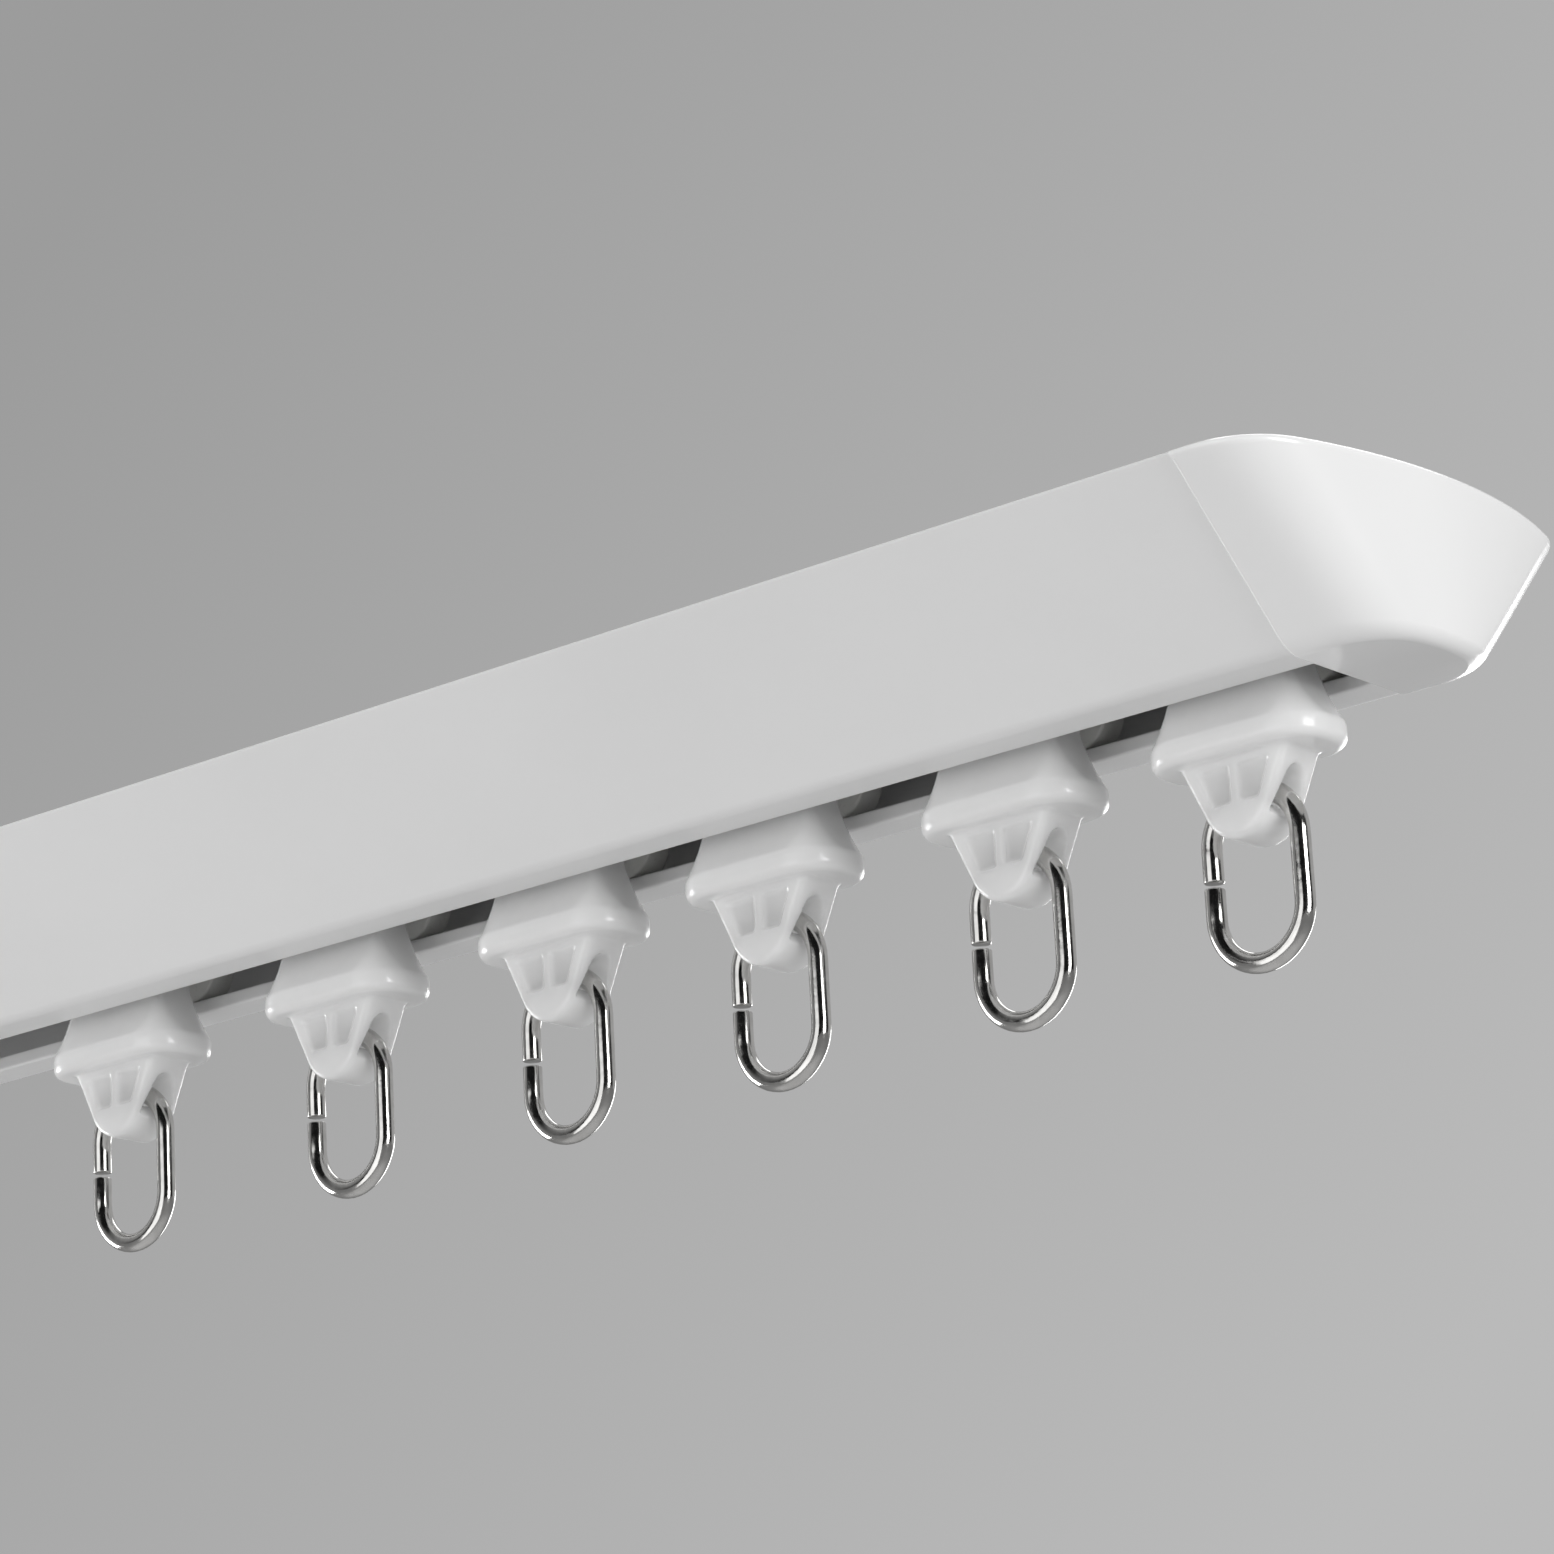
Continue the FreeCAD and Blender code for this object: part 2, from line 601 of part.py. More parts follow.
def build():
    """Builds every sub-part."""
    bodies = [make_rail(), make_cap("end_cap_right", 1), make_cap("end_cap_left", -1)]
    for number in range(1, GLIDER_COUNT + 1):
        name = f"glider_{number}"
        bodies.append(make_glider(number))
        for end_name, end in WHEEL_ENDS.items():
            bodies.append(make_axle(f"{name}_axle_{end_name}", number, end))
            for side_name, side in WHEEL_SIDES.items():
                bodies.append(make_wheel(f"{name}_wheel_{end_name}_{side_name}", number, end, side))
        bodies.append(make_ring(f"{name}_ring", number))
    doc.recompute()
    return bodies


def check(bodies):
    """Stops if a feature failed or a sub-part isn't one valid solid."""
    for item in doc.Objects:
        if "Invalid" in item.State or "Error" in item.State:
            raise RuntimeError(f"{item.Label} of {item.Name} failed: {item.State}")
    for body in bodies:
        shape = body.Shape
        if shape.isNull() or not shape.isValid() or len(shape.Solids) != 1:
            raise RuntimeError(f"{body.Label} isn't one valid solid")


def write(bodies):
    """Writes each sub-part to its own file."""
    os.makedirs("parts", exist_ok=True)
    for body in bodies:
        body.Shape.exportStep(f"parts/{body.Label}.step")


sub_parts = build()
check(sub_parts)
write(sub_parts)
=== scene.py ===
"""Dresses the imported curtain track: painted rail, moulded caps and gliders, wheels and split rings."""
import json
import logging
import math
from collections.abc import Callable, Iterable
from dataclasses import dataclass, field
from enum import Enum
from typing import Any

import bmesh
import bpy
from mathutils import Matrix, Vector

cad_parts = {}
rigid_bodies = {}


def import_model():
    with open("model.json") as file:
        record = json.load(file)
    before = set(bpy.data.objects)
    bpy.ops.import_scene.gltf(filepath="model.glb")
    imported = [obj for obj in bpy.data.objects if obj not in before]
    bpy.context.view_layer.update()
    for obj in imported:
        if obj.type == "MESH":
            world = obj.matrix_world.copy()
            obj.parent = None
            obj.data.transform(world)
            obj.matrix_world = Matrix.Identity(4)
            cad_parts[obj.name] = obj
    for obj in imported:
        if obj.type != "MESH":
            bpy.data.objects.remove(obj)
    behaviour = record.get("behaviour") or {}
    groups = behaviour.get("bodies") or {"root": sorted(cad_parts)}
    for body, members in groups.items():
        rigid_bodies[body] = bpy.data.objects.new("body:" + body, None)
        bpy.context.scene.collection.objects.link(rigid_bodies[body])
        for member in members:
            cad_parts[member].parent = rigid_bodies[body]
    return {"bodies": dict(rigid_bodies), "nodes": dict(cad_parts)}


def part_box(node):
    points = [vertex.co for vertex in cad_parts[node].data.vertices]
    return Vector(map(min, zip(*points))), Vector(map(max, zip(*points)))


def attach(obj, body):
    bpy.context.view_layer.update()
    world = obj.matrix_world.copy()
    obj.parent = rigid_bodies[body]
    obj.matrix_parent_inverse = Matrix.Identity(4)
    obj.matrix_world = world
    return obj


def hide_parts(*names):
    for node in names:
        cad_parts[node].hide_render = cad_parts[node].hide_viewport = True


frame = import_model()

LOG = logging.getLogger("curtain_track")
MM = 0.001
TOUCH = 1e-4

# Edges that turn by more than this many degrees stay sharp: on cut metal, on moulded pieces with small
# rounds, and nowhere on a piece that is soft all over.
SHARP_METAL = 30.0
SHARP_MOULDED = 40.0
SHARP_NOWHERE = 180.0
FLAT_FACE_WEIGHT = 80

# How a finish's two noise patterns are read: their detail, and the band of each that is used.
CLOUD_DETAIL = 3.0
CLOUD_BAND = (0.35, 0.65)
GRAIN_DETAIL = 2.0
GRAIN_BAND = (0.3, 0.7)

# A colour Mix node shares its sockets' names with the node's other kinds, so they go by number.
MIX_FIRST, MIX_SECOND, MIX_RESULT = 6, 7, 2


class Direction(Enum):
    """A way along an axis, with the sign that it has there."""

    @property
    def word(self) -> str:
        """The direction's name in node and body names."""
        return self.name.lower()


class TrackEnd(Direction):
    """An end of the rail, or of a glider's carriage, along +X."""

    LEFT = -1
    RIGHT = 1


class RailSide(Direction):
    """A side of the slot, along +Y."""

    FRONT = -1
    BACK = 1


def linear(hex_colour: str) -> tuple[float, float, float, float]:
    """Turns an sRGB hex colour into the linear colour that shaders take.

    Args:
        hex_colour: six hex digits with a leading #.

    Returns:
        Linear red, green and blue, with an alpha of 1.
    """
    shares = [int(hex_colour[at:at + 2], 16) / 255 for at in (1, 3, 5)]
    red, green, blue = (s / 12.92 if s <= 0.04045 else ((s + 0.055) / 1.055) ** 2.4 for s in shares)
    return red, green, blue, 1.0


def per_metre(size_mm: float) -> float:
    """The texture scale at which a pattern's features are this many millimetres apart."""
    return 1 / (size_mm * MM)


def add_node(
    tree: bpy.types.NodeTree,
    kind: str,
    settings: dict[str, Any] | None = None,
    inputs: dict[str | int, Any] | None = None,
) -> bpy.types.Node:
    """Adds a node with its settings and links.

    Args:
        tree: the node tree that takes the node.
        kind: the node's type name.
        settings: properties to set on the node.
        inputs: input names or numbers to values, or to sockets to link from.

    Returns:
        The new node.
    """
    node = tree.nodes.new(kind)
    for name, setting in (settings or {}).items():
        setattr(node, name, setting)
    for name, source in (inputs or {}).items():
        if isinstance(source, bpy.types.NodeSocket):
            tree.links.new(source, node.inputs[name])
        else:
            node.inputs[name].default_value = source
    return node


@dataclass(frozen=True)
class Finish:
    """A real material and the way its surface was made.

    Two colours drift into each other over cloud_mm, and a fine relief of grain_mm, pulled out along
    grain_stretch, breaks up the gloss.
    """

    name: str
    slot: str
    colour: str
    drift_colour: str
    roughness: float
    cloud_mm: float
    grain_mm: float
    grain_depth_mm: float
    grain_stretch: tuple[float, float, float] = (1.0, 1.0, 1.0)
    roughness_spread: float = 0.04
    metallic: float = 0.0
    ior: float = 1.5
    coat: float = 0.0
    coat_roughness: float = 0.03
    subsurface: float = 0.0
    subsurface_mm: tuple[float, float, float] = (1.0, 1.0, 1.0)
    transmission: float = 0.0

    def build(self) -> bpy.types.Material:
        """Makes the material.

        Returns:
            The material, ready to assign.
        """
        material = bpy.data.materials.new(self.name)
        material.use_nodes = True
        tree = material.node_tree
        tree.nodes.clear()
        place = add_node(tree, "ShaderNodeTexCoord").outputs["Object"]
        cloud = add_node(tree, "ShaderNodeTexNoise", inputs={
            "Vector": place, "Scale": per_metre(self.cloud_mm), "Detail": CLOUD_DETAIL})
        colour = add_node(tree, "ShaderNodeValToRGB", inputs={"Fac": cloud.outputs["Fac"]})
        low, high = colour.color_ramp.elements
        low.position, high.position = CLOUD_BAND
        low.color, high.color = linear(self.drift_colour), linear(self.colour)
        pulled = add_node(tree, "ShaderNodeMapping", inputs={
            "Vector": place, "Scale": tuple(1 / pull for pull in self.grain_stretch)})
        grain = add_node(tree, "ShaderNodeTexNoise", inputs={
            "Vector": pulled.outputs["Vector"], "Scale": per_metre(self.grain_mm), "Detail": GRAIN_DETAIL})
        relief = add_node(tree, "ShaderNodeBump", inputs={
            "Height": grain.outputs["Fac"], "Distance": self.grain_depth_mm * MM, "Strength": 1.0})
        gloss = add_node(tree, "ShaderNodeMapRange", inputs={
            "Value": grain.outputs["Fac"], "From Min": GRAIN_BAND[0], "From Max": GRAIN_BAND[1],
            "To Min": self.roughness - self.roughness_spread,
            "To Max": self.roughness + self.roughness_spread})
        surface = add_node(tree, "ShaderNodeBsdfPrincipled", {"subsurface_method": "RANDOM_WALK"}, {
            "Base Color": colour.outputs["Color"], "Roughness": gloss.outputs["Result"],
            "Normal": relief.outputs["Normal"], "Metallic": self.metallic, "IOR": self.ior,
            "Coat Weight": self.coat, "Coat Roughness": self.coat_roughness,
            "Subsurface Weight": self.subsurface, "Subsurface Scale": MM,
            "Subsurface Radius": self.subsurface_mm, "Transmission Weight": self.transmission})
        add_node(tree, "ShaderNodeOutputMaterial", inputs={"Surface": surface.outputs["BSDF"]})
        return material


# Polyester powder coat, baked on: an even satin white with a faint orange peel that runs a little
# along the extrusion under it.
POWDER_COAT = Finish(
    "white_powder_coated_aluminium", "rail_paint", "#EDEDED", "#EAEAEA", roughness=0.38,
    cloud_mm=40.0, grain_mm=0.9, grain_depth_mm=0.002, grain_stretch=(6.0, 1.0, 1.0))

# ABS from a polished mould: a clean glossy white, with only the slow ripple of shrinkage in its highlights.
POLISHED_ABS = Finish(
    "gloss_moulded_white_abs", "cap_plastic", "#F3F3F3", "#F1F1F1", roughness=0.2, roughness_spread=0.02,
    cloud_mm=25.0, grain_mm=7.0, grain_depth_mm=0.006, ior=1.53, coat=0.3, coat_roughness=0.08)

# Natural polyamide: light goes some millimetres into it and a little comes through, so thin places look
# milky and shadows on it stay soft.
MILKY_NYLON = Finish(
    "moulded_natural_nylon", "glider_nylon", "#FAFAFA", "#F6F6F6", roughness=0.18,
    cloud_mm=5.0, grain_mm=3.0, grain_depth_mm=0.002, ior=1.5,
    subsurface=1.0, subsurface_mm=(4.0, 4.0, 4.0), transmission=0.1)

# Acetal wheels: harder and more opaque than the nylon, worn smooth where they run.
SMOOTH_ACETAL = Finish(
    "moulded_white_acetal", "wheel_plastic", "#EBEBE8", "#E4E4E0", roughness=0.3,
    cloud_mm=2.0, grain_mm=0.4, grain_depth_mm=0.003, ior=1.48)

# Drawn steel pin: dull grey metal with fine lines along its length.
DRAWN_STEEL = Finish(
    "drawn_steel_pin", "axle_steel", "#B9BABC", "#A9AAAC", roughness=0.34,
    cloud_mm=2.0, grain_mm=0.12, grain_depth_mm=0.003, grain_stretch=(1.0, 30.0, 1.0), metallic=1.0)

# Bright nickel on wire: a grey mirror that takes in the dark room, softened by tumbling marks.
BRIGHT_NICKEL = Finish(
    "bright_nickel_plated_wire", "ring_nickel", "#D2D1CF", "#C4C3C1", roughness=0.13, roughness_spread=0.05,
    cloud_mm=1.5, grain_mm=0.7, grain_depth_mm=0.006, metallic=1.0)


def round_off(
    bm: bmesh.types.BMesh, edges: Iterable[bmesh.types.BMEdge], radius: float, segments: int
) -> None:
    """Rounds edges that all turn by the same angle.

    Args:
        bm: the mesh.
        edges: the edges to round.
        radius: the radius of the rounding.
        segments: how many faces go round it.
    """
    chosen = list(edges)
    offset = radius * math.tan(chosen[0].calc_face_angle() / 2)
    soften(bm, chosen, offset, segments)


def soften(
    bm: bmesh.types.BMesh, edges: Iterable[bmesh.types.BMEdge], offset: float, segments: int
) -> None:
    """Bevels edges to a round.

    Args:
        bm: the mesh.
        edges: the edges to bevel.
        offset: how far each side of the edge the round starts.
        segments: how many faces go round it.
    """
    bmesh.ops.bevel(
        bm, geom=list(edges), offset=offset, offset_type="OFFSET", affect="EDGES",
        segments=segments, profile=0.5, material=-1, clamp_overlap=True)


def closed_face(
    bm: bmesh.types.BMesh, corners: Iterable[tuple[float, float, float]]
) -> bmesh.types.BMFace:
    """Joins a few corners into one face."""
    return bm.faces.new([bm.verts.new(corner) for corner in corners])


def push_out(bm: bmesh.types.BMesh, face: bmesh.types.BMFace, way: Vector) -> None:
    """Extrudes a face into a solid.

    Args:
        bm: the mesh.
        face: the face that stays at one end.
        way: from that face to the other end.
    """
    grown = bmesh.ops.extrude_face_region(bm, geom=[face], use_keep_orig=True)
    moved = [item for item in grown["geom"] if isinstance(item, bmesh.types.BMVert)]
    bmesh.ops.translate(bm, verts=moved, vec=way)


def arc_on(
    bm: bmesh.types.BMesh, start: bmesh.types.BMVert, centre: tuple[float, float, float],
    angle: float, steps: int,
) -> bmesh.types.BMVert:
    """Draws an arc on from a vertex, level with it.

    Args:
        bm: the mesh.
        start: the vertex that the arc leaves.
        centre: the arc's centre.
        angle: how far it turns about +Z.
        steps: how many edges it has.

    Returns:
        The vertex at its end.
    """
    drawn = bmesh.ops.spin(
        bm, geom=[start], cent=centre, axis=(0, 0, 1), angle=angle, steps=steps, use_duplicate=False)
    return next(item for item in drawn["geom_last"] if isinstance(item, bmesh.types.BMVert))


def line_on(bm: bmesh.types.BMesh, start: bmesh.types.BMVert, way: Vector) -> bmesh.types.BMVert:
    """Draws a straight edge on from a vertex.

    Args:
        bm: the mesh.
        start: the vertex that the edge leaves.
        way: from there to the edge's end.

    Returns:
        The vertex at its end.
    """
    drawn = bmesh.ops.extrude_vert_indiv(bm, verts=[start])
    bmesh.ops.translate(bm, verts=drawn["verts"], vec=way)
    return drawn["verts"][0]


def piece_from(
    bm: bmesh.types.BMesh, name: str, finish: bpy.types.Material, place: Vector,
    sharp_deg: float = SHARP_METAL,
) -> bpy.types.Object:
    """Makes an object of a mesh drawn in millimetres about a place in the frame.

    Args:
        bm: the mesh, which is used up.
        name: the piece's name.
        finish: its material.
        place: where the mesh's own origin stands in the frame, in metres.
        sharp_deg: edges that turn by more than this stay sharp.

    Returns:
        The object, at the origin with its place in its mesh.
    """
    bmesh.ops.remove_doubles(bm, verts=bm.verts, dist=TOUCH)
    bmesh.ops.recalc_face_normals(bm, faces=bm.faces)
    bmesh.ops.transform(bm, matrix=Matrix.Translation(place) @ Matrix.Scale(MM, 4), verts=bm.verts)
    mesh = bpy.data.meshes.new(name)
    bm.to_mesh(mesh)
    bm.free()
    return piece_of(mesh, name, finish, sharp_deg)


def piece_of(
    mesh: bpy.types.Mesh, name: str, finish: bpy.types.Material, sharp_deg: float
) -> bpy.types.Object:
    """Makes a smooth-shaded object of a finished mesh.

    Args:
        mesh: the mesh, in place.
        name: the piece's name.
        finish: its material.
        sharp_deg: edges that turn by more than this stay sharp.

    Returns:
        The object, linked to the scene.
    """
    mesh.shade_smooth()
    mesh.set_sharp_from_angle(angle=math.radians(sharp_deg))
    mesh.materials.append(finish)
    piece = bpy.data.objects.new(name, mesh)
    bpy.context.scene.collection.objects.link(piece)
    return piece


def flatten_shading(piece: bpy.types.Object) -> None:
    """Keeps large flat faces flat where they run into rounded edges.

    Args:
        piece: the piece with both.
    """
    weighting = piece.modifiers.new("flat_faces", "WEIGHTED_NORMAL")
    weighting.keep_sharp = True
    weighting.weight = FLAT_FACE_WEIGHT


def stand_for(piece: bpy.types.Object, node: str, body: str) -> None:
    """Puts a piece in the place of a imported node.

    Args:
        piece: the finished piece.
        node: the node that it replaces.
        body: the body that it moves with.
    """
    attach(piece, body)
    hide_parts(node)
    LOG.info("%s rides on %s", piece.name, body)


def middle_of(node: str) -> Vector:
    """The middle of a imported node's box, in metres."""
    low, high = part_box(node)
    return (low + high) / 2


def baked(piece: bpy.types.Object) -> bpy.types.Mesh:
    """The mesh that a piece's modifiers give, as a mesh of its own."""
    graph = bpy.context.evaluated_depsgraph_get()
    return bpy.data.meshes.new_from_object(piece.evaluated_get(graph))


@dataclass
class Rail:
    """The extruded rail, in millimetres: a boat-shaped section with a slot between two flanges."""

    top_width: float = 46.6
    base_width: float = 17.0
    height: float = 14.0
    side_wall: float = 1.2
    top_wall: float = 1.2
    flange: float = 1.5
    slot_width: float = 8.5
    lower_edge_radius: float = 2.0
    lower_edge_steps: int = 8
    upper_edge_radius: float = 0.2
    upper_edge_steps: int = 5
    slot_edge_radius: float = 0.3
    slot_edge_steps: int = 4
    hole_diameter: float = 4.5
    hole_spacing: float = 400.0
    hole_steps: int = 32
    drill_length: float = 4.8

    @property
    def slope(self) -> float:
        """How far a side runs out for each millimetre that it rises."""
        return (self.top_width - self.base_width) / 2 / self.height

    @property
    def slant(self) -> float:
        """How much longer a side's level thickness is than its own."""
        return math.hypot(1, self.slope)

    def half_width(self, level: float) -> float:
        """Half the outer width at a level, which is 0 at the ceiling face."""
        return self.top_width / 2 + level * self.slope

    def build(self, finish: bpy.types.Material) -> bpy.types.Object:
        """Extrudes half the section, mirrors it, rounds its edges and drills the screw holes.

        Args:
            finish: the paint.

        Returns:
            The rail.
        """
        low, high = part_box("track_rail")
        length = (high.x - low.x) / MM
        flange_top = self.flange - self.height
        wall = self.side_wall * self.slant
        section = [
            (self.slot_width / 2, flange_top),
            (self.slot_width / 2, -self.height),
            (self.base_width / 2, -self.height),
            (self.top_width / 2, 0.0),
            (0.0, 0.0),
            (0.0, -self.top_wall),
            (self.half_width(-self.top_wall) - wall, -self.top_wall),
            (self.half_width(flange_top) - wall, flange_top),
        ]
        bm = bmesh.new()
        face = closed_face(bm, [(-length / 2, y, z) for y, z in section])
        push_out(bm, face, Vector((length, 0, 0)))
        inner = [f for f in bm.faces if all(abs(v.co.y) < TOUCH for v in f.verts)]
        bmesh.ops.delete(bm, geom=inner, context="FACES")
        bmesh.ops.mirror(bm, geom=bm.verts[:] + bm.edges[:] + bm.faces[:], axis="Y", merge_dist=TOUCH)
        bmesh.ops.remove_doubles(bm, verts=bm.verts, dist=TOUCH)
        bmesh.ops.recalc_face_normals(bm, faces=bm.faces)
        rounds = (
            (self.base_width / 2, -self.height, self.lower_edge_radius, self.lower_edge_steps),
            (self.top_width / 2, 0.0, self.upper_edge_radius, self.upper_edge_steps),
            (self.slot_width / 2, -self.height, self.slot_edge_radius, self.slot_edge_steps),
            (self.slot_width / 2, flange_top, self.slot_edge_radius, self.slot_edge_steps),
        )
        for y, z, radius, steps in rounds:
            edges = [e for e in bm.edges if all(
                abs(abs(v.co.y) - y) < TOUCH and abs(v.co.z - z) < TOUCH for v in e.verts)]
            round_off(bm, edges, radius, steps)
        blank = piece_from(bm, "rail_blank", finish, Vector())
        rail = piece_of(self.drilled(blank), "rail_extrusion", finish, SHARP_METAL)
        flatten_shading(rail)
        return rail

    def drilled(self, blank: bpy.types.Object) -> bpy.types.Mesh:
        """Cuts the screw holes and uses up the blank.

        Args:
            blank: the rail without holes.

        Returns:
            The drilled mesh.
        """
        bm = bmesh.new()
        radius = self.hole_diameter / 2
        for end in TrackEnd:
            drill = bmesh.ops.create_cone(
                bm, cap_ends=True, segments=self.hole_steps, radius1=radius, radius2=radius,
                depth=self.drill_length)
            bmesh.ops.translate(bm, verts=drill["verts"], vec=(end.value * self.hole_spacing / 2, 0, 0))
        drills = piece_from(bm, "screw_hole_drills", blank.data.materials[0], Vector())
        cut = blank.modifiers.new("screw_holes", "BOOLEAN")
        cut.object = drills
        cut.solver = "EXACT"
        mesh = baked(blank)
        mesh.materials.clear()
        bpy.data.objects.remove(drills)
        bpy.data.objects.remove(blank)
        return mesh

    def dress(self, finish: bpy.types.Material) -> None:
        """Puts the painted rail in the frame."""
        stand_for(self.build(finish), "track_rail", "rail")


@dataclass
class EndCap:
    """A moulded end cap, in millimetres, drawn with its own origin at the rail's end."""

    rail: Rail
    top_reach: float = 12.3
    top_end_radius: float = 60.0
    top_corner_radius: float = 8.0
    base_reach: float = 10.6
    base_end_radius: float = 21.0
    base_corner_radius: float = 6.5
    proud: float = 0.3
    wall: float = 1.8
    top_edge: float = 0.8
    base_edge: float = 1.2
    seam_edge: float = 0.3
    seam_steps: int = 4
    edge_steps: int = 5
    side_steps: int = 6
    corner_steps: int = 12
    end_steps: int = 20
    lug_depth: float = 9.0
    lug_root: float = 4.0
    lug_thickness: float = 2.0
    lug_height: float = 5.0
    lug_clearance: float = 0.15

    def outline(self, bm: bmesh.types.BMesh, level: float, inset: float) -> list[bmesh.types.BMEdge]:
        """Draws the cap's plan at a level: square at the rail, round corners and a bowed end.

        Args:
            bm: the mesh.
            level: height, which is 0 at the ceiling face.
            inset: how far a rim's rounding draws the plan in.

        Returns:
            The outline's edges.
        """
        share = 1 + level / (self.rail.height + self.proud)
        ends = (
            (self.base_reach, self.top_reach),
            (self.base_end_radius, self.top_end_radius),
            (self.base_corner_radius, self.top_corner_radius),
        )
        reach, end_radius, corner = (low + (high - low) * share - inset for low, high in ends)
        half = self.rail.half_width(level) + self.proud * self.rail.slant - inset
        span, rise = end_radius - corner, half - corner
        corner_x = reach - end_radius + math.sqrt(span ** 2 - rise ** 2)
        bow = math.asin(rise / span)
        known = set(bm.edges)
        first = bm.verts.new((0, -half, level))
        at = line_on(bm, first, Vector((corner_x, 0, 0)))
        at = arc_on(bm, at, (corner_x, -rise, level), math.pi / 2 - bow, self.corner_steps)
        at = arc_on(bm, at, (reach - end_radius, 0, level), 2 * bow, self.end_steps)
        at = arc_on(bm, at, (corner_x, rise, level), math.pi / 2 - bow, self.corner_steps)
        at = line_on(bm, at, Vector((-corner_x, 0, 0)))
        bm.edges.new((at, first))
        return [edge for edge in bm.edges if edge not in known]

    def outside(self, edge: bmesh.types.BMEdge) -> bool:
        """Tells whether an edge of the seam is on the cap's outer side, away from the ceiling.

        Args:
            edge: an edge of the cap's mouth.

        Returns:
            True for the edges that show where the cap meets the rail.
        """
        middle = (edge.verts[0].co + edge.verts[1].co) / 2
        within = self.rail.half_width(middle.z) + self.proud * self.rail.slant - self.wall / 2
        under = self.wall / 2 - self.rail.height - self.proud
        return middle.z < -self.top_edge and (abs(middle.y) > within or middle.z < under)

    def levels(self) -> list[tuple[float, float]]:
        """Lists the plans that the cap is bridged from: a rounded rim, the sloping side and another rim.

        Returns:
            Each plan's height and inset, from base to top.
        """
        base = -self.rail.height - self.proud
        turns = [math.pi / 2 * step / self.edge_steps for step in range(self.edge_steps + 1)]
        lower = [
            (base + self.base_edge * (1 - math.cos(turn)), self.base_edge * (1 - math.sin(turn)))
            for turn in turns]
        upper = [
            (-self.top_edge * (1 - math.sin(turn)), self.top_edge * (1 - math.cos(turn)))
            for turn in turns]
        low, high = lower[-1][0], upper[0][0]
        side = [(low + (high - low) * step / self.side_steps, 0.0) for step in range(1, self.side_steps)]
        return lower + side + upper

    def build(self, end: TrackEnd, finish: bpy.types.Material) -> bpy.types.Object:
        """Bridges the cap's outer and inner plans, joins them round its mouth and adds the lugs.

        Args:
            end: the rail's end that it closes.
            finish: the plastic.

        Returns:
            The cap.
        """
        bm = bmesh.new()
        hollow = [(-self.rail.height - self.proud + self.wall, self.wall), (-self.wall, self.wall)]
        for shell in (self.levels(), hollow):
            plans = [self.outline(bm, level, inset) for level, inset in shell]
            for below, above in zip(plans, plans[1:]):
                bmesh.ops.bridge_loops(bm, edges=below + above)
            for rim in (plans[0], plans[-1]):
                bmesh.ops.contextual_create(bm, geom=rim)
        seam = [f for f in bm.faces if all(abs(v.co.x) < TOUCH for v in f.verts)]
        bmesh.ops.delete(bm, geom=seam, context="FACES")
        mouths = [edge for edge in bm.edges if edge.is_boundary]
        bmesh.ops.triangle_fill(bm, edges=mouths, use_beauty=True)
        bmesh.ops.recalc_face_normals(bm, faces=bm.faces)
        round_off(bm, [edge for edge in mouths if self.outside(edge)], self.seam_edge, self.seam_steps)
        for side in RailSide:
            self.add_lug(bm, side)
        turn = Matrix.Rotation(0 if end is TrackEnd.RIGHT else math.pi, 4, "Z")
        bmesh.ops.transform(bm, matrix=turn, verts=bm.verts)
        low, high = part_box("track_rail")
        seat = Vector((high.x if end is TrackEnd.RIGHT else low.x, 0, 0))
        cap = piece_from(bm, f"moulded_end_cap_{end.word}", finish, seat, SHARP_MOULDED)
        flatten_shading(cap)
        return cap

    def add_lug(self, bm: bmesh.types.BMesh, side: RailSide) -> None:
        """Adds the lug that grips the inside of one of the rail's walls.

        Args:
            bm: the cap's mesh.
            side: the wall's side of the slot.
        """
        upper = -self.rail.top_wall - self.lug_clearance
        lower = upper - self.lug_height
        outside = (self.rail.side_wall + self.lug_clearance) * self.rail.slant
        inside = outside + self.lug_thickness * self.rail.slant
        corners = [
            (self.rail.half_width(level) - inset, level)
            for level, inset in ((lower, inside), (lower, outside), (upper, outside), (upper, inside))]
        face = closed_face(bm, [(self.lug_root, side.value * y, z) for y, z in corners])
        push_out(bm, face, Vector((-self.lug_root - self.lug_depth, 0, 0)))

    def dress(self, finish: bpy.types.Material) -> None:
        """Puts a cap on each end of the rail."""
        for end in TrackEnd:
            stand_for(self.build(end, finish), f"end_cap_{end.word}", "rail")


